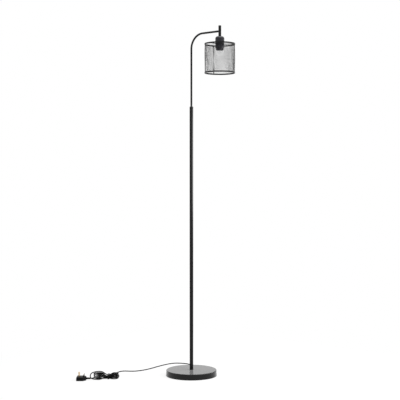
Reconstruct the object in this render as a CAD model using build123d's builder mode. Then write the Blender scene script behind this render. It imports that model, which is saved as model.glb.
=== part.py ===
from build123d import *

import os
from math import cos, dist, pi, radians, sin, sqrt, tan

# A floor lamp: round weighted base, straight pole, thin swan-neck arm, hanging lampholder with an
# open wire-mesh shade, and a mains lead that ends in a tied hank and a three-pin plug.
# Frame: the pole stands on Z, the arm points along +X, the floor is z = 0. All sizes are in mm.

# Base
base_radius = 125.0
cover_taper = 2.0
base_top_radius = base_radius - cover_taper
base_height = 28.5
base_edge_radius = 3.0
cover_wall = 1.5
cover_lift = 1.0
pad_inset = 8.0
pad_radius = base_radius - pad_inset
pad_thickness = 2.0
weight_clearance = 0.5
pocket_radius = 16.0
pocket_roof = 6.5
channel_width = 8.0
channel_height = 7.0

# Pole
pole_radius = 9.0
pole_wall = 1.0
pole_sections = 3
pole_top = 1307.0
coupler_length = 50.0
coupler_bore = 3.4
fit_clearance = 0.05
stud_radius = 5.0
stud_bore = 3.2
stud_reach = 30.0
nut_across = 17.0
nut_height = 5.0
washer_radius = 11.0
washer_thickness = 1.5

# Swivel at the top of the pole
collar_height = 8.0
collar_nose = 3.0
collar_top_radius = 6.2
swivel_depth = 50.0
ledge_height = 10.0
swivel_clearance = 0.05

# Arm and head
arm_radius = 4.75
arm_wall = 1.0
arm_rise = 356.0
arm_level = pole_top + arm_rise
arm_bend = 70.0
arm_reach = 176.0
rod_radius = 6.75
rod_below_arm = 24.0
rod_above_arm = 27.0
rod_bottom = arm_level - rod_below_arm
rod_top = arm_level + rod_above_arm
rod_edge = 1.0
nipple_radius = 4.95
nipple_bore = 3.3
nipple_in_rod = 13.0
nipple_in_cap = 11.0
lock_nut_across = 14.0
lock_nut_height = 3.0

# Lampholder
cap_radius = 21.5
cap_crown = 8.5
cap_flat = 9.0
cap_height = 34.0
cap_bottom = rod_bottom - cap_height
cap_wall = 2.0
body_radius = 19.0
flange_radius = 20.2
flange_height = 3.0
skirt_radius = 18.0
body_drop = 32.0
skirt_bottom = cap_bottom - body_drop
skirt_taper = 9.0
body_wall = 3.8
body_floor = 4.0
body_spigot = 5.0
shell_radius = 13.25
shell_wall = 0.5
shell_mouth = 4.0
shell_flange = 0.8
shell_headroom = 0.5
core_radius = 15.0
core_height = 8.0
screw_radius = 2.0
screw_head = 2.5
terminal_offset = 7.0
contact_width = 6.0
contact_length = 16.0
contact_thickness = 0.6
contact_drop = 5.0
hub_thickness = 2.0
hub_radius = 21.4
ring_height = 15.5
ring_radius = 21.75
ring_neck = 20.4
ring_neck_height = 3.6
ring_foot = 3.0
ring_clearance = 0.06

# Shade
shade_radius = 73.0
shade_rise = 0.25
shade_height = 142.0
shade_top = cap_bottom + shade_rise
shade_bottom = shade_top - shade_height
rim_height = 6.3
rim_width = 3.4
rim_lip = 1.2
rim_slot_depth = 3.0
mesh_panels = 32
mesh_rows = 9
mesh_wall = 0.8
mesh_bar = 1.5
mesh_clearance = 0.1
seam_width = 5.0
seam_thickness = 0.7
seam_panel = 13
spoke_count = 3
spoke_radius = 1.75
spoke_turn = 30.0

# Mains lead: the floor plane of the lead is turned from the arm by this angle
lead_turn = 39.5
cord_radius = 2.5
cord_sides = 6
cord_floor = 2.6
bend_share = 0.45
exit_height = 5.5
grommet_flange = 4.9
grommet_flange_length = 3.0
grommet_sleeve = 3.6
flex_bend = 6.0
wire_radius = 0.9
wire_spacing = 1.3

# Hank: a turn to each of four layers and three eighths more, drawn in at the waist; the lobes fan out
# higher than the waist, and the top turn is let out in front into a leaning loop at the left end
hank_across = -399.0
hank_back = -70.0
hank_layers = 4
hank_last_eighths = 3
hank_layer = 5.6
hank_waist_layer = 4.8
hank_left_bulge = 4.5
hank_right_bulge = 2.5
hank_loop = 18.0
hank_loop_out, hank_loop_out_right = 13.0, 5.0
hank_loop_height = 16.0
hank_loop_lean = 35.0
hank_exit_height = 13.0
hank_exit_back = 42.0
hank_exit_waist = 3.0
hank_floor = cord_floor
hank_lift = 1.3
hank_waist, hank_waist_step = 4.0, 12.5
hank_left_shoulder = 46.0
hank_left_end, hank_left_end_step = 66.0, 9.0
hank_left_half, hank_left_half_step = 20.0, 9.0
hank_right_shoulder = 28.0
hank_right_end, hank_right_end_step = 46.0, 6.5
hank_right_half, hank_right_half_step = 18.0, 6.5
tie_wall = 0.8
tie_width = 7.0
tie_clearance = 0.5

# Plug, lying on its back with the pins up
plug_across = -523.0
plug_back = -112.0
plug_height = 18.0
plug_earth_end = 25.0
plug_cable_end = 21.0
plug_half_width = 24.0
plug_nose_half = 9.0
plug_shoulder = 7.0
plug_corner = 4.0
plug_edge = 1.5
pin_pitch = 22.2
pin_seat = 6.0
earth_x = -13.0
earth_long, earth_wide, earth_length = 8.0, 4.0, 22.7
live_long, live_wide, live_length = 4.0, 6.35, 17.7
sleeve_length = 9.0
sleeve_wall = 0.4
carrier_x = -2.5
carrier_long, carrier_wide, carrier_depth = 9.0, 28.0, 8.5
carrier_clearance = 0.1
fuse_radius = 3.15
fuse_length = 25.4
fuse_clearance = 0.1
relief_length = 20.0
relief_seat = 10.0
relief_radius, relief_tip = 5.0, 3.6
tail_straight = 9.0
tail_bend_across = -474.0

os.makedirs("parts", exist_ok=True)

pole_bore = pole_radius - pole_wall
arm_foot = pole_top - swivel_depth + swivel_clearance
lamp_axis = Plane(origin=(arm_reach, 0, 0))
floor_plan = Plane.XY.rotated((0, 0, lead_turn))
exit_plane = Plane(
    origin=floor_plan.from_local_coords((0, 0, exit_height)),
    x_dir=(0, 0, 1),
    z_dir=floor_plan.y_dir,
)
grommet_face = base_radius + grommet_flange_length


def laid(across, back, height):
    """A point of the lead, across and behind the base, in the lamp's frame."""
    return floor_plan.from_local_coords(Vector(across, back, height))


def cord_radii(points):
    """Largest bend that each corner of a cord's route leaves room for."""
    radii = []
    for before, corner, after in zip(points, points[1:], points[2:]):
        turn = (corner - before).get_angle(after - corner)
        shorter = min((corner - before).length, (after - corner).length)
        radii.append(bend_share * shorter / tan(radians(turn) / 2))
    return radii


def arc_joint(start, start_way, end, end_way):
    """Middle point and direction of the two equal-tangent arcs that join two directed points."""
    chord = end - start
    ways = start_way + end_way
    spread = 2 * (1 - start_way.dot(end_way))
    along = chord.dot(ways)
    if spread < 1e-6:
        reach = chord.dot(chord) / (2 * along)
    else:
        reach = (sqrt(along * along + spread * chord.dot(chord)) - along) / spread
    first = start + start_way * reach
    last = end - end_way * reach
    return (first + last) * 0.5, (last - first).normalized()


# Pressed cover of the base, with the hole that the lead leaves by
with BuildPart() as base_cover:
    with BuildSketch(Plane.XZ):
        with BuildLine():
            Polyline(
                (stud_radius + fit_clearance, base_height - cover_wall),
                (base_top_radius - cover_wall, base_height - cover_wall),
                (base_radius - cover_wall, cover_lift),
                (base_radius, cover_lift),
                (base_top_radius, base_height),
                (stud_radius + fit_clearance, base_height),
                close=True,
            )
        make_face()
    revolve(axis=Axis.Z)
    top_edges = base_cover.edges().filter_by(GeomType.CIRCLE).group_by(Axis.Z)[-1]
    fillet(top_edges.sort_by(SortBy.RADIUS)[-1], base_edge_radius)
    with BuildSketch(exit_plane.offset(base_radius / 2)):
        Circle(grommet_sleeve + fit_clearance)
    extrude(amount=base_radius, mode=Mode.SUBTRACT)

# Cast filling that weighs the base down, with a pocket for the nut and a channel for the flex
weight_radius = base_top_radius - cover_wall - weight_clearance
weight_top = base_height - cover_wall
with BuildPart() as base_weight:
    with BuildSketch(Plane.XY.offset(pad_thickness)):
        Circle(weight_radius)
    extrude(amount=weight_top - pad_thickness)
    with BuildSketch(Plane.XY.offset(pad_thickness)):
        Circle(pocket_radius)
        with Locations(floor_plan.location):
            with Locations((0, base_radius / 2)):
                Rectangle(channel_width, base_radius)
    extrude(amount=channel_height, mode=Mode.SUBTRACT)
    with BuildSketch(Plane.XY.offset(pad_thickness)):
        Circle(pocket_radius)
    extrude(amount=weight_top - pocket_roof - pad_thickness, mode=Mode.SUBTRACT)
    with BuildSketch(Plane.XY.offset(pad_thickness)):
        Circle(stud_radius + fit_clearance)
    extrude(amount=base_height, mode=Mode.SUBTRACT)

# Soft pad that the lamp stands on
with BuildPart() as base_pad:
    with BuildSketch():
        Circle(pad_radius)
    extrude(amount=pad_thickness)

# Hollow stud, washer and nut that hold the pole to the base
pocket_top = weight_top - pocket_roof
with BuildPart() as base_washer:
    with BuildSketch(Plane.XY.offset(pocket_top - washer_thickness)):
        Circle(washer_radius)
        Circle(stud_radius + fit_clearance, mode=Mode.SUBTRACT)
    extrude(amount=washer_thickness)

nut_bottom = pocket_top - washer_thickness - nut_height
with BuildPart() as base_nut:
    with BuildSketch(Plane.XY.offset(nut_bottom)):
        RegularPolygon(nut_across / 2, 6, major_radius=False)
        Circle(stud_radius + fit_clearance, mode=Mode.SUBTRACT)
    extrude(amount=nut_height)

with BuildPart() as base_stud:
    with BuildSketch(Plane.XY.offset(nut_bottom)):
        Circle(stud_radius)
        Circle(stud_bore, mode=Mode.SUBTRACT)
    extrude(amount=base_height + stud_reach - nut_bottom)

with BuildPart() as pole_foot:
    with BuildSketch(Plane.XY.offset(base_height)):
        Circle(pole_bore - fit_clearance)
        Circle(stud_radius + fit_clearance, mode=Mode.SUBTRACT)
    extrude(amount=stud_reach)

# Pole sections and the couplers inside their joints
section_length = (pole_top - base_height) / pole_sections
pole_names = ["pole_lower", "pole_middle", "pole_upper"]
pole_parts = []
for number, pole_name in enumerate(pole_names):
    with BuildPart() as pole_section:
        with BuildSketch(Plane.XY.offset(base_height + number * section_length)):
            Circle(pole_radius)
            Circle(pole_bore, mode=Mode.SUBTRACT)
        extrude(amount=section_length)
    pole_section.part.label = pole_name
    pole_parts.append(pole_section.part)

coupler_parts = []
for number in range(1, pole_sections):
    joint_height = base_height + number * section_length
    with BuildPart() as pole_coupler:
        with BuildSketch(Plane.XY.offset(joint_height - coupler_length / 2)):
            Circle(pole_bore - fit_clearance)
            Circle(coupler_bore, mode=Mode.SUBTRACT)
        extrude(amount=coupler_length)
    pole_coupler.part.label = f"pole_coupler_{number}"
    coupler_parts.append(pole_coupler.part)

# Turned bush in the pole's top: the arm stands on its ledge and swivels in its bore
bush_bottom = pole_top - swivel_depth - ledge_height
with BuildPart() as swivel_bush:
    with BuildSketch(Plane.XZ):
        with BuildLine():
            Polyline(
                (coupler_bore, bush_bottom),
                (pole_bore - fit_clearance, bush_bottom),
                (pole_bore - fit_clearance, pole_top),
                (pole_radius, pole_top),
                (pole_radius, pole_top + collar_height - collar_nose),
                (collar_top_radius, pole_top + collar_height),
                (arm_radius + swivel_clearance, pole_top + collar_height),
                (arm_radius + swivel_clearance, pole_top - swivel_depth),
                (coupler_bore, pole_top - swivel_depth),
                close=True,
            )
        make_face()
    revolve(axis=Axis.Z)

# Swan-neck arm: one bent tube
with BuildPart() as arm_tube:
    with BuildLine() as arm_line:
        FilletPolyline(
            (0, 0, arm_foot),
            (0, 0, arm_level),
            (arm_reach - nipple_bore, 0, arm_level),
            radius=arm_bend,
        )
    with BuildSketch(Plane.XY.offset(arm_foot)):
        Circle(arm_radius)
        Circle(arm_radius - arm_wall, mode=Mode.SUBTRACT)
    sweep(path=arm_line.wires()[0])

# Head rod: the arm enters its side, the lampholder hangs from its nipple
with BuildPart() as head_rod:
    with BuildSketch(lamp_axis.offset(rod_bottom)):
        Circle(rod_radius)
    extrude(amount=rod_top - rod_bottom)
    chamfer(head_rod.faces().sort_by(Axis.Z)[-1].edges(), rod_edge)
    with BuildSketch(lamp_axis.offset(rod_bottom)):
        Circle(nipple_radius + fit_clearance)
    extrude(amount=nipple_in_rod, mode=Mode.SUBTRACT)
    with BuildSketch(lamp_axis.offset(rod_bottom)):
        Circle(nipple_bore)
    extrude(amount=arm_level + arm_radius - rod_bottom, mode=Mode.SUBTRACT)
    with BuildSketch(Plane.YZ.offset(arm_reach - 2 * rod_radius)):
        with Locations((0, arm_level)):
            Circle(arm_radius + fit_clearance)
    extrude(amount=2 * rod_radius, mode=Mode.SUBTRACT)

with BuildPart() as head_nipple:
    with BuildSketch(lamp_axis.offset(rod_bottom - nipple_in_cap)):
        Circle(nipple_radius)
        Circle(nipple_bore, mode=Mode.SUBTRACT)
    extrude(amount=nipple_in_rod + nipple_in_cap)

with BuildPart() as head_lock_nut:
    with BuildSketch(lamp_axis.offset(rod_bottom - cap_wall - lock_nut_height)):
        RegularPolygon(lock_nut_across / 2, 6, major_radius=False)
        Circle(nipple_radius + fit_clearance, mode=Mode.SUBTRACT)
    extrude(amount=lock_nut_height)

# Lampholder: domed cap, body with flange and skirt, screw shell, terminals and contact
lamp_section = Plane(origin=(arm_reach, 0, 0), x_dir=(1, 0, 0), z_dir=(0, -1, 0))
lamp_spin = Axis((arm_reach, 0, 0), (0, 0, 1))
cap_bore = cap_radius - cap_wall
with BuildPart() as holder_cap:
    with BuildSketch(lamp_section):
        with BuildLine():
            crown = TangentArc(
                (cap_flat, rod_bottom),
                (cap_radius, rod_bottom - cap_crown),
                tangent=(1, 0),
            )
            Polyline(
                crown @ 1,
                (cap_radius, cap_bottom),
                (cap_bore, cap_bottom),
                (cap_bore, rod_bottom - cap_crown),
                (cap_flat, rod_bottom - cap_wall),
                (nipple_radius + fit_clearance, rod_bottom - cap_wall),
                (nipple_radius + fit_clearance, rod_bottom),
                crown @ 0,
            )
        make_face()
    revolve(axis=lamp_spin)

body_top = cap_bottom + body_spigot
floor_under = body_top - body_floor
flange_bottom = cap_bottom - flange_height
with BuildPart() as holder_body:
    with BuildSketch(lamp_section):
        with BuildLine():
            Polyline(
                (0, body_top),
                (cap_bore - fit_clearance, body_top),
                (cap_bore - fit_clearance, cap_bottom),
                (flange_radius, cap_bottom),
                (flange_radius, flange_bottom),
                (body_radius, flange_bottom),
                (body_radius, skirt_bottom + skirt_taper),
                (skirt_radius, skirt_bottom),
                (body_radius - body_wall, skirt_bottom),
                (body_radius - body_wall, floor_under),
                (0, floor_under),
                close=True,
            )
        make_face()
    revolve(axis=lamp_spin)

# The shell ends short of the contact and is held in the body by its out-turned flange
shell_bottom = skirt_bottom + shell_mouth
shell_top = floor_under - contact_drop - shell_headroom
with BuildPart() as screw_shell:
    with BuildSketch(lamp_axis.offset(shell_bottom)):
        Circle(shell_radius + shell_wall)
        Circle(shell_radius, mode=Mode.SUBTRACT)
    extrude(amount=shell_top - shell_bottom)
    with BuildSketch(lamp_axis.offset(shell_top - shell_flange)):
        Circle(body_radius - body_wall - fit_clearance)
        Circle(shell_radius, mode=Mode.SUBTRACT)
    extrude(amount=shell_flange)

with BuildPart() as centre_contact:
    with BuildSketch(lamp_section):
        with BuildLine():
            Polyline(
                (-contact_length / 2, floor_under),
                (contact_length / 2, floor_under),
                (contact_length / 2, floor_under - 2 * contact_thickness),
                (-contact_length / 4, floor_under - contact_drop),
                (-contact_length / 4, floor_under - contact_drop + contact_thickness),
                (contact_length / 3, floor_under - contact_thickness),
                (-contact_length / 2, floor_under - contact_thickness),
                close=True,
            )
        make_face()
    extrude(amount=contact_width / 2, both=True)

terminal_places = [(0, -terminal_offset), (0, terminal_offset)]
with BuildPart() as terminal_block:
    with BuildSketch(lamp_axis.offset(body_top)):
        Circle(core_radius)
    extrude(amount=core_height)

terminal_top = body_top + core_height + screw_head
with BuildPart() as terminal_screws:
    with BuildSketch(lamp_axis.offset(body_top + core_height)):
        with Locations(*terminal_places):
            Circle(screw_radius)
    extrude(amount=screw_head)

# Shade ring: screws up the body's thread and clamps the shade's hub under the flange
hub_bottom = flange_bottom - hub_thickness
ring_top = hub_bottom - ring_clearance
ring_bottom = ring_top - ring_height
ring_bore = body_radius + ring_clearance
with BuildPart() as shade_ring:
    with BuildSketch(lamp_section):
        with BuildLine():
            Polyline(
                (ring_bore, ring_bottom),
                (ring_neck, ring_bottom),
                (ring_radius, ring_bottom + ring_foot),
                (ring_radius, ring_top - ring_neck_height),
                (ring_neck, ring_top - ring_neck_height),
                (ring_neck, ring_top),
                (ring_bore, ring_top),
                close=True,
            )
        make_face()
    revolve(axis=lamp_spin)

# Shade: two channel rims, a mesh sleeve held in their slots, its seam strip and a welded spider
rim_bore = shade_radius - rim_width
slot_outer = shade_radius - rim_lip
mesh_radius = slot_outer - mesh_clearance
panel_cosine = cos(pi / mesh_panels)
slot_inner = (mesh_radius - mesh_wall) * panel_cosine - mesh_clearance


def rim_points(back, way):
    """Section of a channel rim from its closed edge, with the slot opening along way."""
    mouth = back + way * rim_height
    slot_end = mouth - way * rim_slot_depth
    return [
        (rim_bore, back),
        (shade_radius, back),
        (shade_radius, mouth),
        (slot_outer, mouth),
        (slot_outer, slot_end),
        (slot_inner, slot_end),
        (slot_inner, mouth),
        (rim_bore, mouth),
    ]


with BuildPart() as shade_top_rim:
    with BuildSketch(lamp_section):
        with BuildLine():
            Polyline(*rim_points(shade_top, -1), close=True)
        make_face()
    revolve(axis=lamp_spin)

with BuildPart() as shade_bottom_rim:
    with BuildSketch(lamp_section):
        with BuildLine():
            Polyline(*rim_points(shade_bottom, 1), close=True)
        make_face()
    revolve(axis=lamp_spin)

mesh_edge = rim_height - rim_slot_depth + mesh_clearance
mesh_bottom = shade_bottom + mesh_edge
mesh_height = shade_top - shade_bottom - 2 * mesh_edge
open_bottom = shade_bottom + rim_height
open_height = shade_top - shade_bottom - 2 * rim_height
row_pitch = open_height / mesh_rows
panel_width = 2 * mesh_radius * sin(pi / mesh_panels)
panel_angle = 360 / mesh_panels
panel_out = mesh_radius * panel_cosine
gap_places = [
    lamp_axis.location
    * Rot(0, 0, (panel + 0.5) * panel_angle)
    * Pos(panel_out, 0, open_bottom + (row + 0.5) * row_pitch)
    for panel in range(mesh_panels)
    for row in range(mesh_rows)
]
with BuildPart() as shade_mesh:
    with BuildSketch(lamp_axis.offset(mesh_bottom)):
        RegularPolygon(mesh_radius, mesh_panels)
        RegularPolygon(mesh_radius - mesh_wall, mesh_panels, mode=Mode.SUBTRACT)
    extrude(amount=mesh_height)
    with Locations(*gap_places):
        Box(4 * mesh_wall, panel_width - mesh_bar, row_pitch - mesh_bar, mode=Mode.SUBTRACT)

seam_angle = (seam_panel + 0.5) * panel_angle
seam_place = lamp_axis.location * Rot(0, 0, seam_angle) * Pos(panel_out, 0, open_bottom + mesh_clearance)
with BuildPart() as mesh_seam:
    with Locations(seam_place):
        Box(
            seam_thickness,
            seam_width,
            open_height - 2 * mesh_clearance,
            align=(Align.MIN, Align.CENTER, Align.MIN),
        )

spoke_level = hub_bottom + hub_thickness / 2
spoke_start = (ring_neck + hub_radius) / 2
with BuildPart() as shade_spider:
    with BuildSketch(lamp_axis.offset(hub_bottom)):
        Circle(hub_radius)
        Circle(body_radius + fit_clearance, mode=Mode.SUBTRACT)
    extrude(amount=hub_thickness)
    for number in range(spoke_count):
        spoke_way = Rot(0, 0, spoke_turn + number * 360 / spoke_count) * Rot(0, 90, 0)
        spoke_plane = Plane(Pos(arm_reach, 0, spoke_level) * spoke_way)
        with BuildSketch(spoke_plane.offset(spoke_start)):
            Circle(spoke_radius)
        extrude(amount=rim_bore - spoke_start - 2 * fit_clearance)

# Flex inside the stand and the arm, and the two wires down to the terminals
exit_point = laid(0, grommet_face, exit_height)
with BuildPart() as flex_stand:
    with BuildLine() as flex_stand_line:
        FilletPolyline(exit_point, (0, 0, exit_height), (0, 0, arm_foot), radius=flex_bend)
    with BuildSketch(Plane(origin=exit_point, z_dir=-floor_plan.y_dir)):
        Circle(cord_radius)
    sweep(path=flex_stand_line.wires()[0])

flex_end = arm_reach - rod_radius
with BuildPart() as flex_arm:
    with BuildLine() as flex_arm_line:
        FilletPolyline((0, 0, arm_foot), (0, 0, arm_level), (flex_end, 0, arm_level), radius=arm_bend)
    with BuildSketch(Plane.XY.offset(arm_foot)):
        Circle(cord_radius)
    sweep(path=flex_arm_line.wires()[0])

wire_bend = 2 * wire_radius
with BuildPart() as lead_wires:
    for side in (-1, 1):
        with BuildLine() as wire_line:
            FilletPolyline(
                (flex_end, side * wire_spacing, arm_level),
                (arm_reach, side * wire_spacing, arm_level),
                (arm_reach, side * wire_spacing, rod_bottom - nipple_in_cap),
                (arm_reach, side * terminal_offset, terminal_top + wire_radius),
                radius=wire_bend,
            )
        with BuildSketch(Plane.YZ.offset(flex_end)):
            with Locations((side * wire_spacing, arm_level)):
                RegularPolygon(wire_radius, cord_sides)
        sweep(path=wire_line.wires()[0])

# Grommet in the base's rim, and the lead's route along the floor
with BuildPart() as cord_grommet:
    with BuildSketch(exit_plane.offset(base_radius)):
        Circle(grommet_flange)
    extrude(amount=grommet_flange_length)
    with BuildSketch(exit_plane.offset(base_radius)):
        Circle(grommet_sleeve)
    extrude(amount=-(base_radius - weight_radius - weight_clearance))
    with BuildSketch(exit_plane):
        Circle(cord_radius + fit_clearance)
    extrude(amount=2 * base_radius, mode=Mode.SUBTRACT)

hank_start_back = hank_back + 2 * cord_radius
hank_outer_end = hank_right_end + hank_right_end_step
free_route = [
    (0, grommet_face, exit_height),
    (0, 158, exit_height),
    (5, 200, cord_floor),
    (0, 244, cord_floor),
    (-28, 281, cord_floor),
    (-80, 296, cord_floor),
    (-113, 280, cord_floor),
    (-143, 246, cord_floor),
    (-174, 205, cord_floor),
    (-208, 150, cord_floor),
    (-251, 102, cord_floor),
    (-294, 82, cord_floor),
    (-342, 95, cord_floor),
    (-366, 66, cord_floor),
    (-370, 30, cord_floor),
    (hank_across + hank_outer_end, -10, hank_floor),
    (hank_across + hank_outer_end, hank_start_back, hank_floor),
]
free_points = [laid(*point) for point in free_route]
free_radii = cord_radii(free_points)
with BuildPart() as cord_free:
    with BuildLine() as free_line:
        FilletPolyline(*free_points, radius=free_radii)
    with BuildSketch(Plane(origin=free_points[0], z_dir=free_points[1] - free_points[0])):
        RegularPolygon(cord_radius, cord_sides)
    sweep(path=free_line.wires()[0])


def hank_key(eighth):
    """Point and direction of the hank's lead at an eighth of a turn, clockwise from the right end."""
    layer = eighth // 8
    into = eighth / 8 - layer
    growth = into if layer % 2 else 1 - into
    place = eighth % 8
    waist = hank_waist + hank_waist_step * growth
    left_half = hank_left_half + hank_left_half_step * growth
    right_half = hank_right_half + hank_right_half_step * growth
    left_end = hank_left_end + hank_left_end_step * growth
    if loop_eighth - 3 <= eighth < loop_eighth:
        waist += hank_loop_out
        left_half += hank_loop_out
        right_half += hank_loop_out_right
    if eighth == last_eighth - 1:
        waist += hank_exit_waist
    if eighth == loop_eighth:
        left_end += hank_loop
    if eighth == last_eighth:
        left_half = hank_exit_back
    spots = [
        (hank_right_end + hank_right_end_step * growth, 0),
        (hank_right_shoulder, -right_half),
        (0, -waist),
        (-hank_left_shoulder, -left_half),
        (-left_end, 0),
        (-hank_left_shoulder, left_half),
        (0, waist),
        (hank_right_shoulder, right_half),
    ]
    ways = [(0, -1, 0), (-1, 0, 0), (-1, 0, 0), (-1, 0, 0), (0, 1, 0), (1, 0, 0), (1, 0, 0), (1, 0, 0)]
    climb = sum(min(max((eighth - 8 * change + 2) / 4, 0), 1) for change in range(1, hank_layers + 1))
    way = ways[place]
    if place in (2, 6):
        height = hank_floor + hank_lift + climb * hank_waist_layer
    elif place in (3, 4, 5):
        height = hank_floor + climb * (hank_layer + hank_left_bulge)
    else:
        height = hank_floor + climb * (hank_layer + hank_right_bulge)
    if eighth == loop_eighth - 1:
        height = hank_floor
    if eighth == loop_eighth:
        height = hank_loop_height
        way = (0, cos(radians(hank_loop_lean)), sin(radians(hank_loop_lean)))
    if eighth == last_eighth:
        height = hank_exit_height
    across, back = spots[place]
    point = laid(hank_across + across, hank_back + back, height)
    return point, floor_plan.from_local_coords(Vector(*way))


loop_eighth = 8 * hank_layers - 4
last_eighth = 8 * hank_layers + hank_last_eighths
hank_keys = [hank_key(eighth) for eighth in range(last_eighth + 1)]
hank_start = hank_keys[0][0] - hank_keys[0][1] * (2 * cord_radius)
hank_end = hank_keys[-1][0] + hank_keys[-1][1] * (2 * cord_radius)
with BuildPart() as cord_hank:
    with BuildLine() as hank_line:
        Line(hank_start, hank_keys[0][0])
        for (start, start_way), (end, end_way) in zip(hank_keys, hank_keys[1:]):
            middle, middle_way = arc_joint(start, start_way, end, end_way)
            TangentArc(start, middle, tangent=start_way)
            TangentArc(middle, end, tangent=middle_way)
        Line(hank_keys[-1][0], hank_end)
    with BuildSketch(Plane(origin=hank_start, z_dir=hank_keys[0][1])):
        RegularPolygon(cord_radius, cord_sides)
    sweep(path=hank_line.wires()[0])

# Tie round the hank's waist
waist_backs = [floor_plan.to_local_coords(point).Y for point, way in hank_keys[2::4]]
tie_inner_half = (max(waist_backs) - min(waist_backs)) / 2 + cord_radius + tie_clearance
tie_inner_height = hank_layers * hank_waist_layer + 2 * cord_radius + 2 * tie_clearance
tie_plane = Plane(
    origin=laid(
        hank_across,
        (max(waist_backs) + min(waist_backs)) / 2,
        hank_floor + hank_lift + hank_layers * hank_waist_layer / 2,
    ),
    x_dir=floor_plan.y_dir,
    z_dir=floor_plan.x_dir,
)
with BuildPart() as cord_tie:
    with BuildSketch(tie_plane):
        RectangleRounded(2 * (tie_inner_half + tie_wall), tie_inner_height + 2 * tie_wall, cord_radius)
        RectangleRounded(
            2 * tie_inner_half,
            tie_inner_height,
            cord_radius - tie_wall,
            mode=Mode.SUBTRACT,
        )
    extrude(amount=tie_width / 2, both=True)

# Plug: moulded body, pins with sleeves, fuse in its carrier, strain relief
plug_plane = floor_plan.shift_origin(laid(plug_across, plug_back, 0))
cable_axis = Plane(
    origin=laid(plug_across + plug_cable_end, plug_back, plug_height / 2),
    x_dir=floor_plan.y_dir,
    z_dir=floor_plan.x_dir,
)
live_places = [(earth_x + pin_pitch, -pin_pitch / 2), (earth_x + pin_pitch, pin_pitch / 2)]
carrier_floor = plug_height - carrier_depth
with BuildPart() as plug_body:
    with BuildSketch(plug_plane) as plug_outline:
        with BuildLine():
            Polyline(
                (-plug_earth_end, -plug_half_width),
                (plug_shoulder, -plug_half_width),
                (plug_cable_end, -plug_nose_half),
                (plug_cable_end, plug_nose_half),
                (plug_shoulder, plug_half_width),
                (-plug_earth_end, plug_half_width),
                close=True,
            )
        make_face()
        fillet(plug_outline.vertices(), plug_corner)
    extrude(amount=plug_height)
    chamfer(plug_body.faces().sort_by(Axis.Z)[-1].edges(), plug_edge)
    chamfer(plug_body.faces().sort_by(Axis.Z)[0].edges(), plug_edge)
    with BuildSketch(plug_plane.offset(plug_height - pin_seat)):
        with Locations((earth_x, 0)):
            Rectangle(earth_long, earth_wide)
        with Locations(*live_places):
            Rectangle(live_long - 2 * sleeve_wall, live_wide - 2 * sleeve_wall)
    extrude(amount=pin_seat, mode=Mode.SUBTRACT)
    with BuildSketch(plug_plane.offset(carrier_floor)):
        with Locations((carrier_x, 0)):
            Rectangle(carrier_long + 2 * carrier_clearance, carrier_wide + 2 * carrier_clearance)
    extrude(amount=carrier_depth, mode=Mode.SUBTRACT)
    with BuildSketch(cable_axis):
        Circle(relief_radius + fit_clearance)
    extrude(amount=-relief_seat, mode=Mode.SUBTRACT)

with BuildPart() as earth_pin:
    with BuildSketch(plug_plane.offset(plug_height - pin_seat)):
        with Locations((earth_x, 0)):
            Rectangle(earth_long, earth_wide)
    extrude(amount=pin_seat + earth_length)
    chamfer(earth_pin.faces().sort_by(Axis.Z)[-1].edges(), earth_wide / 4)

with BuildPart() as live_pins:
    with BuildSketch(plug_plane.offset(plug_height - pin_seat)):
        with Locations(*live_places):
            Rectangle(live_long - 2 * sleeve_wall, live_wide - 2 * sleeve_wall)
    extrude(amount=pin_seat + sleeve_length)
    with BuildSketch(plug_plane.offset(plug_height + sleeve_length)):
        with Locations(*live_places):
            Rectangle(live_long, live_wide)
    extrude(amount=live_length - sleeve_length)
    chamfer(live_pins.faces().sort_by(Axis.Z)[-2:].edges(), live_long / 4)

with BuildPart() as pin_sleeves:
    with BuildSketch(plug_plane.offset(plug_height)):
        with Locations(*live_places):
            Rectangle(live_long, live_wide)
            Rectangle(
                live_long - 2 * sleeve_wall,
                live_wide - 2 * sleeve_wall,
                mode=Mode.SUBTRACT,
            )
    extrude(amount=sleeve_length)

fuse_level = carrier_floor + carrier_clearance + fuse_radius + fuse_clearance
with BuildPart() as fuse_carrier:
    with BuildSketch(plug_plane.offset(carrier_floor + carrier_clearance)):
        with Locations((carrier_x, 0)):
            Rectangle(carrier_long, carrier_wide)
    extrude(amount=carrier_depth - carrier_clearance)
    with Locations(plug_plane.location * Pos(carrier_x, 0, fuse_level) * Rot(90, 0, 0)):
        Cylinder(
            fuse_radius + fuse_clearance,
            fuse_length + 2 * fuse_clearance,
            mode=Mode.SUBTRACT,
        )

with BuildPart() as fuse:
    with Locations(plug_plane.location * Pos(carrier_x, 0, fuse_level) * Rot(90, 0, 0)):
        Cylinder(fuse_radius, fuse_length)

with BuildPart() as plug_relief:
    with BuildSketch(cable_axis):
        Circle(relief_radius)
    with BuildSketch(cable_axis.offset(relief_length)):
        Circle(relief_tip)
    loft()
    with BuildSketch(cable_axis):
        Circle(relief_radius)
    extrude(amount=-relief_seat)
    with BuildSketch(cable_axis.offset(-relief_seat)):
        Circle(cord_radius + fit_clearance)
    extrude(amount=relief_seat + relief_length, mode=Mode.SUBTRACT)

# Tail from the hank to the plug, seated in the strain relief
tail_seat = cable_axis.from_local_coords(Vector(0, 0, relief_length))
tail_points = [
    hank_end,
    hank_end + hank_keys[-1][1] * tail_straight,
    laid(tail_bend_across, plug_back, plug_height / 2),
    tail_seat,
]
tail_radii = cord_radii(tail_points)
with BuildPart() as cord_tail:
    with BuildLine() as tail_line:
        FilletPolyline(*tail_points, radius=tail_radii)
    with BuildSketch(Plane(origin=hank_end, z_dir=tail_points[1] - hank_end)):
        RegularPolygon(cord_radius, cord_sides)
    sweep(path=tail_line.wires()[0])


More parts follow.
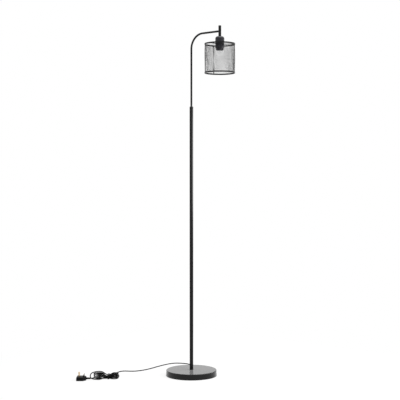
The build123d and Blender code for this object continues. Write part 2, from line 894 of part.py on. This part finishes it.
def least_gap(wire, spacing=1.5):
    """Least clear distance between stretches of one tube that lie more than four bores apart along it."""
    count = int(wire.length / spacing)
    spots = [tuple(wire @ (number / count)) for number in range(count + 1)]
    apart = int(8 * cord_radius / spacing)
    return min(
        dist(spots[first], spots[second])
        for first in range(count)
        for second in range(first + apart, count + 1)
    ) - 2 * cord_radius


free_wire = free_line.wires()[0]
tail_wire = tail_line.wires()[0]
hank_wire = hank_line.wires()[0]
cord_section = cord_sides / 2 * sin(2 * pi / cord_sides) * cord_radius**2
print("free lead radii", [round(radius) for radius in free_radii])
print("tail radii", [round(radius) for radius in tail_radii])
print("free lead volume share", round(cord_free.part.volume / (cord_section * free_wire.length), 4))
print("tail volume share", round(cord_tail.part.volume / (cord_section * tail_wire.length), 4))
print("hank volume share", round(cord_hank.part.volume / (cord_section * hank_wire.length), 4))
print("hank least gap", round(least_gap(hank_wire), 2))
print("lead lengths", round(free_wire.length), round(hank_wire.length), round(tail_wire.length))

pieces = {
    "base_cover": base_cover,
    "base_weight": base_weight,
    "base_pad": base_pad,
    "base_washer": base_washer,
    "base_nut": base_nut,
    "base_stud": base_stud,
    "pole_foot": pole_foot,
    "swivel_bush": swivel_bush,
    "arm_tube": arm_tube,
    "head_rod": head_rod,
    "head_nipple": head_nipple,
    "head_lock_nut": head_lock_nut,
    "holder_cap": holder_cap,
    "holder_body": holder_body,
    "screw_shell": screw_shell,
    "centre_contact": centre_contact,
    "terminal_block": terminal_block,
    "terminal_screws": terminal_screws,
    "shade_ring": shade_ring,
    "shade_top_rim": shade_top_rim,
    "shade_bottom_rim": shade_bottom_rim,
    "shade_mesh": shade_mesh,
    "mesh_seam": mesh_seam,
    "shade_spider": shade_spider,
    "flex_stand": flex_stand,
    "flex_arm": flex_arm,
    "lead_wires": lead_wires,
    "cord_grommet": cord_grommet,
    "cord_free": cord_free,
    "cord_hank": cord_hank,
    "cord_tail": cord_tail,
    "cord_tie": cord_tie,
    "plug_body": plug_body,
    "earth_pin": earth_pin,
    "live_pins": live_pins,
    "pin_sleeves": pin_sleeves,
    "fuse_carrier": fuse_carrier,
    "fuse": fuse,
    "plug_relief": plug_relief,
}
for name, piece in pieces.items():
    piece.part.label = name
    export_step(piece.part, f"parts/{name}.step")
for piece in pole_parts + coupler_parts:
    export_step(piece, f"parts/{piece.label}.step")
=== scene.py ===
from math import atan2, ceil, copysign, cos, pi, radians, sin, sqrt

import bpy
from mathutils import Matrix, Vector


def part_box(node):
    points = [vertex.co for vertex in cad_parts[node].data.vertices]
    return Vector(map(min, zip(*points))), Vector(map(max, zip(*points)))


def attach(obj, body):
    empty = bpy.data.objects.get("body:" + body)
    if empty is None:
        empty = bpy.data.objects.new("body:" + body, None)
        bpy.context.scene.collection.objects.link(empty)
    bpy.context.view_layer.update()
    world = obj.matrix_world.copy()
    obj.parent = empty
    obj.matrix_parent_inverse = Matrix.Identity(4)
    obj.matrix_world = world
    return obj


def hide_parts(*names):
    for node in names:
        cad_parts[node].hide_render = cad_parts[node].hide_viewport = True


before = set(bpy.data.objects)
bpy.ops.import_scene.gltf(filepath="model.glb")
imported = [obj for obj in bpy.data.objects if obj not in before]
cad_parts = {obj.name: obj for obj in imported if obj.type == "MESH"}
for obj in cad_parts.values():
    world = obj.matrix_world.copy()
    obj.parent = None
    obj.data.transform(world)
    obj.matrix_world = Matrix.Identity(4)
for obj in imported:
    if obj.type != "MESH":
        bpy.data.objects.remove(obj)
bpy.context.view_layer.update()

# Base: a pressed steel cover over a cast filling, on a soft pad. The cover is powder coated in a
# satin black that shows a faint orange peel and picks up the white room at a low angle.


def linear(code):
    """Linear colour of an sRGB hex value."""
    parts = [int(code[place:place + 2], 16) / 255 for place in (1, 3, 5)]
    return [p / 12.92 if p <= 0.04045 else ((p + 0.055) / 1.055) ** 2.4 for p in parts] + [1.0]


def add(tree, kind, values=None, links=None, **settings):
    """One node with its settings, socket values and links."""
    made = tree.nodes.new(kind)
    for key, value in settings.items():
        setattr(made, key, value)
    for key, value in (values or {}).items():
        made.inputs[key].default_value = value
    for key, source in (links or {}).items():
        tree.links.new(source, made.inputs[key])
    return made


def surface(name, dark, light, grain_mm, rough, bump, values=None):
    """A finish whose colour, roughness and relief vary over a grain of a real size."""
    grain_size = grain_mm / 1000
    made = bpy.data.materials.new(name)
    made.use_nodes = True
    tree = made.node_tree
    tree.nodes.clear()
    position = add(tree, "ShaderNodeTexCoord")
    grain = add(
        tree,
        "ShaderNodeTexNoise",
        {"Scale": 1 / grain_size, "Detail": 3.0},
        {"Vector": position.outputs["Object"]},
    )
    shade = add(tree, "ShaderNodeValToRGB", links={"Fac": grain.outputs["Fac"]})
    shade.color_ramp.elements[0].color = linear(dark)
    shade.color_ramp.elements[1].color = linear(light)
    sheen = add(
        tree,
        "ShaderNodeMapRange",
        {"To Min": rough[0], "To Max": rough[1]},
        {"Value": grain.outputs["Fac"]},
    )
    relief = add(
        tree,
        "ShaderNodeBump",
        {"Strength": bump, "Distance": grain_size / 10},
        {"Height": grain.outputs["Fac"]},
    )
    shader = add(
        tree,
        "ShaderNodeBsdfPrincipled",
        values,
        {
            "Base Color": shade.outputs["Color"],
            "Roughness": sheen.outputs["Result"],
            "Normal": relief.outputs["Normal"],
        },
    )
    add(tree, "ShaderNodeOutputMaterial", links={"Surface": shader.outputs["BSDF"]})
    return made


def dress(finish, *names):
    """Gives solids of the frame their finish."""
    for name in names:
        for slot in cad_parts[name].material_slots:
            slot.material = finish


# Powder coat: black when faced, with the pole mirrored in it near its foot. The sheen stands for
# the coat's fine texture, which goes pale at a low angle. The peel, really about 1 mm, is drawn
# at 3 mm.
powder_coat = surface(
    "powder_coat_satin_black", "#060607", "#0a0a0b", 3.0, (0.06, 0.1), 0.01,
    {"Specular IOR Level": 0.25, "Sheen Weight": 0.95, "Sheen Roughness": 0.3},
)
# Cement: a rough, mottled grey without gloss, inside the cover
cast_cement = surface("cast_cement", "#77746d", "#9a968d", 4.0, (0.8, 0.95), 0.5)
# Foam: a dull dark edge that parts the cover from the floor
foam_pad = surface("foam_rubber_pad", "#151515", "#232323", 1.5, (0.8, 0.95), 0.4)
# Zinc plate: a pale, slightly clouded metal that tells the fixings from the painted pieces
zinc_plate = surface(
    "zinc_plated_steel", "#a3a5a8", "#c0c2c5", 2.0, (0.25, 0.4), 0.1, {"Metallic": 1.0}
)
dress(powder_coat, "base_cover")
dress(cast_cement, "base_weight")
dress(foam_pad, "base_pad")
dress(zinc_plate, "base_washer", "base_nut", "base_stud")

# Pole and arm: drawn steel tubes in the same powder coat. The sections screw together over plated
# couplers, and the bent arm stands in a turned bush at the top.
# Tube coat: the same paint on a drawn tube, smooth enough to show a side light as one clean stripe
tube_coat = surface(
    "powder_coat_on_tube", "#060607", "#0a0a0b", 3.0, (0.2, 0.24), 0.01, {"Specular IOR Level": 0.2}
)
dress(tube_coat, "pole_lower", "pole_middle", "pole_upper", "swivel_bush", "arm_tube", "head_rod")
dress(zinc_plate, "pole_foot", "pole_coupler_1", "pole_coupler_2", "head_nipple", "head_lock_nut")

# Lampholder: moulded thermoplastic cap, body and shade ring, with a brass screw shell and contact.
# The shell and contact can be seen from below, through the open foot of the shade.
# Moulding: a black with a trace of blue, a little lighter than the paint, with soft highlights
moulded_black = surface(
    "moulded_thermoplastic", "#1c1b22", "#24232b", 1.2, (0.3, 0.38), 0.04,
    {"Specular IOR Level": 0.3},
)
# Brass: pale and warm, the one colour on the lamp, at the shell and the earth pin
bright_brass = surface(
    "bright_brass", "#c4ab8a", "#dccbb2", 2.0, (0.15, 0.28), 0.08, {"Metallic": 1.0}
)
# Steatite: an off-white ceramic with a faint glaze, for the insulating pieces
steatite = surface("glazed_steatite", "#cfccc2", "#e2dfd6", 2.0, (0.25, 0.4), 0.1)
dress(moulded_black, "holder_cap", "holder_body", "shade_ring")
dress(bright_brass, "screw_shell", "centre_contact", "terminal_screws")
dress(steatite, "terminal_block", "fuse")

# Shade: a drum of fine woven wire held in two rolled channel rims, hung from a welded spider.
# The cloth has a pitch of 2.3 mm and hangs in shallow upright pleats, which darken its two sides.
# Each set of pleats has its share of their depth, its number round the drum and its slant.
dress(tube_coat, "shade_top_rim", "shade_bottom_rim", "shade_spider")
rim_low, rim_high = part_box("shade_bottom_rim")
mesh_low, mesh_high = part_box("shade_mesh")
shade_axis = ((rim_low[0] + rim_high[0]) / 2, (rim_low[1] + rim_high[1]) / 2)
cloth_radius = 0.0711
wire_pitch = 0.0023
wire_half = 0.000187
wire_side = wire_half / sqrt(2)
wire_deep = 0.000145
pleat_depth = 0.0016
pleats = ((0.6, 11, 3), (0.4, 17, -4))
uprights = 2 * round(pi * cloth_radius / wire_pitch)
rounds = round((mesh_high[2] - mesh_low[2]) / wire_pitch)


def cloth_point(column, row, weave):
    """A point of the wire cloth, over or under at each crossing, and its outward direction."""
    turn = 2 * pi * column / uprights
    rise = row / rounds
    slack = sqrt(max(sin(pi * rise), 0))
    wave = sum(share * sin(number * turn + slant * rise) for share, number, slant in pleats)
    out = Vector((cos(turn), sin(turn), 0))
    over = weave * wire_half * (-1) ** (column + row)
    reach = cloth_radius + pleat_depth * slack * wave + over
    height = mesh_low[2] + wire_half + rise * (mesh_high[2] - mesh_low[2] - 2 * wire_half)
    return Vector((shade_axis[0], shade_axis[1], height)) + out * reach, out


def strip(corners, faces, run, closed):
    """Adds one strip of four-sided section along points that each carry its two half widths."""
    start = len(corners)
    for point, across, up in run:
        for first, second in ((1, 1), (-1, 1), (-1, -1), (1, -1)):
            corners.append(point + across * first + up * second)
    steps = len(run) if closed else len(run) - 1
    for step in range(steps):
        here = start + 4 * step
        there = start + 4 * ((step + 1) % len(run))
        for side in range(4):
            other = (side + 1) % 4
            faces.append((here + side, here + other, there + other, there + side))
    if not closed:
        last = start + 4 * steps
        faces.append((start + 3, start + 2, start + 1, start))
        faces.append((last, last + 1, last + 2, last + 3))


def mesh_piece(name, corners, faces, finish):
    """A mesh object in its finish."""
    mesh = bpy.data.meshes.new(name)
    mesh.from_pydata(corners, [], faces)
    mesh.materials.append(finish)
    made = bpy.data.objects.new(name, mesh)
    bpy.context.scene.collection.objects.link(made)
    return made


corners, faces = [], []
for column in range(uprights):
    run = []
    for row in range(rounds + 1):
        point, out = cloth_point(column, row, 1)
        run.append((point, out * wire_deep, out.cross(Vector((0, 0, wire_side)))))
    strip(corners, faces, run, False)
for row in range(rounds + 1):
    run = []
    for column in range(uprights):
        point, out = cloth_point(column, row, -1)
        run.append((point, out * wire_deep, Vector((0, 0, wire_side))))
    strip(corners, faces, run, True)
wire_cloth = mesh_piece("wire_cloth", corners, faces, tube_coat)
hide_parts("shade_mesh")
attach(wire_cloth, "arm")

# Seam of the shade: the cloth's two edges lap for about 6 mm at the rims and are stitched to each
# other, so the lap is a strip of the same wire, four times as close, just outside the drum. A
# little below half height the edges only meet, and the seam thins to one wire.
seam_low, seam_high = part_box("mesh_seam")
seam_middle = [(low + high) / 2 for low, high in zip(seam_low, seam_high)]
seam_turn = atan2(seam_middle[1] - shade_axis[1], seam_middle[0] - shade_axis[0])
lap_spacing = 0.00055
lap_side_wires = 5
lap_radius = cloth_radius + pleat_depth
meeting_row = round(0.45 * rounds)
rows_to_next_wire = 0.05 * rounds
lap_out = Vector((cos(seam_turn), sin(seam_turn), 0))
lap_side = lap_out.cross(Vector((0, 0, 1)))
lap_foot = Vector((shade_axis[0], shade_axis[1], seam_low[2])) + lap_out * lap_radius
lap_rise = Vector((0, 0, seam_high[2] - seam_low[2]))
corners, faces = [], []
for number in range(-lap_side_wires, lap_side_wires + 1):
    foot = lap_foot + lap_side * lap_spacing * number
    gap = ceil(rows_to_next_wire * abs(number))
    for rows in (range(meeting_row - gap + 1), range(meeting_row + gap, rounds + 1)):
        run = []
        for row in rows:
            point = foot + lap_rise * (row / rounds)
            run.append((point, lap_out * wire_deep, lap_side * wire_side))
        strip(corners, faces, run, False)
for row in range(rounds + 1):
    beside = min(int(abs(row - meeting_row) / rows_to_next_wire), lap_side_wires)
    if beside:
        middle = lap_foot + lap_rise * (row / rounds) - lap_out * wire_half
        run = []
        for number in (-beside, 0, beside):
            point = middle + lap_side * lap_spacing * number
            run.append((point, lap_out * wire_deep, Vector((0, 0, wire_side))))
        strip(corners, faces, run, False)
cloth_lap = mesh_piece("cloth_lap", corners, faces, tube_coat)
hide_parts("mesh_seam")
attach(cloth_lap, "arm")

# Mains lead: round black PVC flex, 5 mm across, out of a grommet in the base's rear rim, along the
# floor to a hank tied at its waist, and on to a moulded plug. Its lengths are in millimetres.
# Flex: soft black plastic with no clear highlight, so that the thin lead stays dark on the floor
flex_pvc = surface(
    "extruded_pvc", "#050505", "#090909", 2.5, (0.55, 0.65), 0.05, {"Specular IOR Level": 0.12}
)
lead_turn = radians(39.5)
lead_radius = 2.5
lying_height = lead_radius + 0.1
exit_height = 5.5


def laid(across, back, height):
    """A point of the lead, across and behind the base, in millimetres, in the frame."""
    return Vector(
        (
            across * cos(lead_turn) - back * sin(lead_turn),
            across * sin(lead_turn) + back * cos(lead_turn),
            height,
        )
    ) / 1000


lead_exit = laid(0, 128, exit_height)
lead_route = [lead_exit, laid(0, 158, exit_height)]
for across, back in (
    (5, 200), (0, 244), (-28, 281), (-80, 296), (-113, 280), (-143, 246), (-174, 205),
    (-208, 150), (-251, 102), (-294, 82), (-342, 95), (-366, 66), (-370, 30), (-353, -10),
):
    lead_route.append(laid(across, back, lying_height))

# Hank: four and three eighths turns of the lead, a turn to a layer, pinched by a tie between a
# small bow at the right and a longer lobe at the left. One loop of the lobe and the last strand
# stand off. Each row of heights is for an eighth of a turn and has one height for each layer.
hank_across, hank_back = -399, -70
bow_across, lobe_across = 26.5, -46
last_eighth = 35
loop_eighth, loop_slant = 28, radians(35)
stand_off = {26: 11, 27: 13, 28: 18, 34: 9, 35: 16.375}
strand_heights = (
    (2.6, 5.8, 12.2, 18.6, 25.0),
    (2.6, 7.4, 13.8, 20.2, 26.6),
    (3.5, 5.0, 9.0, 14.2, 17.4),
    (5.1, 14.2, 24.3, 2.6, 13.0),
    (6.0, 16.0, 23.0, 14.0),
    (9.3, 17.8, 22.8, 28.4),
    (3.5, 5.5, 9.2, 15.5),
    (4.2, 10.6, 17.0, 23.4),
)


def hank_spot(eighth):
    """Place and heading of the hank at an eighth. Its turns shrink and grow by turns."""
    layer, place = divmod(eighth, 8)
    growth = place / 8 if layer % 2 else 1 - place / 8
    waist = 4 + 12.5 * growth
    lobe = 20 + 9 * growth
    bow = 16.5 + 5 * growth
    apart = stand_off.get(eighth, 0)
    across, back, along, away = (
        (43 + 3 * growth, -2.5, 0, -1),
        (bow_across, -bow - 2, -1, 0),
        (0, -waist - apart, -1, 0),
        (lobe_across, -lobe - apart, -1, 0),
        (-66 - 9 * growth - apart, 0, 0, 1),
        (lobe_across, lobe, 1, 0),
        (0, waist, 1, 0),
        (bow_across, bow - 3, 1, 0),
    )[place]
    rise = 0
    if eighth == loop_eighth:
        away, rise = cos(loop_slant), sin(loop_slant)
    spot = laid(hank_across + across, hank_back + back, strand_heights[place][layer])
    return spot, laid(along, away, rise) * 1000


# Each eighth has two points, one along the heading at each of its ends, and they are twice as far
# from each other as each is from its end.
for eighth in range(last_eighth):
    start, heading = hank_spot(eighth)
    end, leaving = hank_spot(eighth + 1)
    chord = end - start
    along = chord.dot(heading + leaving)
    spread = 2 * (1 - heading.dot(leaving))
    if spread < 1e-6:
        reach = chord.dot(chord) / (2 * along)
    else:
        reach = (sqrt(along * along + spread * chord.dot(chord)) - along) / spread
    lead_route += [start + heading * reach, end - leaving * reach]
hank_end, hank_heading = hank_spot(last_eighth)
tail_start, tail_back, tail_height = 14, -112, 9
lead_route += [
    hank_end + hank_heading * (tail_start / 1000),
    laid(-474, tail_back, tail_height),
    laid(-482, tail_back, tail_height),
]
lead_curve = bpy.data.curves.new("mains_lead", "CURVE")
lead_curve.dimensions = "3D"
lead_curve.bevel_depth = lead_radius / 1000
lead_curve.bevel_resolution = 4
lead_curve.use_fill_caps = True
line = lead_curve.splines.new("NURBS")
line.points.add(len(lead_route) - 1)
for point, spot in zip(line.points, lead_route):
    point.co = (*spot, 1.0)
line.order_u = 3
line.use_endpoint_u = True
line.resolution_u = 8
mains_lead = bpy.data.objects.new("mains_lead", lead_curve)
bpy.context.scene.collection.objects.link(mains_lead)
lead_curve.materials.append(flex_pvc)
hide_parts("cord_free", "cord_hank", "cord_tail")
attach(mains_lead, "stand")
dress(flex_pvc, "flex_stand", "flex_arm", "lead_wires", "cord_grommet", "plug_relief")

# Tie: a flat plastic band, 7 mm wide, drawn close round the strands at the hank's waist. It is a
# rounded rectangle that stands across the hank.
# Moulding of tie and plug: matt, with a fine grain that greys its upper faces
moulded_plug = surface(
    "moulded_pvc_matt", "#060606", "#0a0a0a", 1.0, (0.45, 0.58), 0.1, {"Specular IOR Level": 0.12}
)
tie_back, tie_height = -74.5, 10.5
tie_half_back, tie_half_height, tie_corner = 21.3, 10.0, 3.0
tie_half_wall, tie_half_width, tie_points = 0.4, 3.5, 24
corners, faces, run = [], [], []
for number in range(tie_points):
    turn = 2 * pi * (number + 0.5) / tie_points
    back = tie_back + copysign(tie_half_back - tie_corner, cos(turn)) + tie_corner * cos(turn)
    height = tie_height + copysign(tie_half_height - tie_corner, sin(turn)) + tie_corner * sin(turn)
    wall = laid(0, tie_half_wall * cos(turn), tie_half_wall * sin(turn))
    run.append((laid(hank_across, back, height), wall, laid(tie_half_width, 0, 0)))
strip(corners, faces, run, True)
hank_tie = mesh_piece("hank_tie", corners, faces, moulded_plug)
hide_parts("cord_tie")
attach(hank_tie, "stand")

# Plug: a moulded body that lies on its back with the pins up and a fuse carrier in the pin face.
# The earth pin is bare brass; the live pins are plated and have black sleeves.
dress(moulded_plug, "plug_body", "pin_sleeves", "fuse_carrier")
# Nickel plate: nearly white, so that the live pins almost vanish against the room
nickel_plate = surface(
    "nickel_plate", "#d8d2cc", "#ece7e2", 1.5, (0.2, 0.3), 0.05, {"Metallic": 1.0}
)
dress(bright_brass, "earth_pin")
dress(nickel_plate, "live_pins")

# Studio: a pale floor that keeps the shadow, a white room, a softbox above and a long low panel at
# the right, whose height sets where the bright stripe on the upper pole begins and ends.


def looked_at(tree):
    """1 for what the eye sees, straight, in a reflection or through glass, and 0 otherwise."""
    rays = add(tree, "ShaderNodeLightPath")
    seen = add(
        tree,
        "ShaderNodeMath",
        links={0: rays.outputs["Is Camera Ray"], 1: rays.outputs["Is Glossy Ray"]},
        operation="MAXIMUM",
    )
    seen_through = add(
        tree,
        "ShaderNodeMath",
        links={0: seen.outputs["Value"], 1: rays.outputs["Is Transmission Ray"]},
        operation="MAXIMUM",
    )
    return seen_through.outputs["Value"]


# Floor: grey paint under a pale glow that only the eye sees, so that shadows stay
pale_floor = bpy.data.materials.new("pale_floor")
pale_floor.use_nodes = True
floor_tree = pale_floor.node_tree
floor_tree.nodes.clear()
matt_grey = add(floor_tree, "ShaderNodeBsdfDiffuse", {"Color": linear("#7c7c7c")})
glow = add(
    floor_tree,
    "ShaderNodeEmission",
    {"Color": linear("#e6e6e6")},
    {"Strength": looked_at(floor_tree)},
)
both = add(
    floor_tree,
    "ShaderNodeAddShader",
    links={0: matt_grey.outputs["BSDF"], 1: glow.outputs["Emission"]},
)
add(floor_tree, "ShaderNodeOutputMaterial", links={"Surface": both.outputs["Shader"]})
floor_half = 1.1
floor_corners = [
    (first * floor_half, second * floor_half, 0)
    for first, second in ((-1, -1), (1, -1), (1, 1), (-1, 1))
]
studio_floor = mesh_piece("studio_floor", floor_corners, [(0, 1, 2, 3)], pale_floor)

# Room: white to the eye, and a little under half as bright as a light on the lamp
world = bpy.data.worlds.new("white_room")
bpy.context.scene.world = world
world.use_nodes = True
room_tree = world.node_tree
room_tree.nodes.clear()
level = add(
    room_tree,
    "ShaderNodeMapRange",
    {"To Min": 0.45, "To Max": 1.0},
    {"Value": looked_at(room_tree)},
)
room = add(
    room_tree,
    "ShaderNodeBackground",
    {"Color": linear("#ffffff")},
    {"Strength": level.outputs["Result"]},
)
add(room_tree, "ShaderNodeOutputWorld", links={"Surface": room.outputs["Background"]})

for name, place, aim_height, width, height, power in (
    ("overhead_softbox", (0.3, 0.2, 3.6), 0.0, 2.5, 2.5, 75.0),
    ("right_panel", (1.29, 0.8, 1.08), 1.08, 3.4, 0.66, 48.0),
):
    light = bpy.data.lights.new(name, "AREA")
    light.shape = "RECTANGLE"
    light.size = width
    light.size_y = height
    light.energy = power
    softbox = bpy.data.objects.new(name, light)
    softbox.location = place
    aim = Vector((0, 0, aim_height)) - Vector(place)
    softbox.rotation_euler = aim.to_track_quat("-Z", "Y").to_euler()
    bpy.context.scene.collection.objects.link(softbox)

# Camera: a short telephoto lens a little over half as high as the lamp and 4.6 m from the pole. Its
# place and aim were fitted to the photograph.
lens = bpy.data.cameras.new("photo_camera")
lens.lens = 85.22
lens.sensor_width = 36.0
photo_camera = bpy.data.objects.new("photo_camera", lens)
photo_camera.location = (2.971, -3.538, 0.968)
camera_aim = Vector((-0.6361, 0.7716, -0.0235))
photo_camera.rotation_euler = camera_aim.to_track_quat("-Z", "Y").to_euler()
bpy.context.scene.collection.objects.link(photo_camera)
bpy.context.scene.camera = photo_camera
bpy.context.scene.view_settings.view_transform = "Standard"
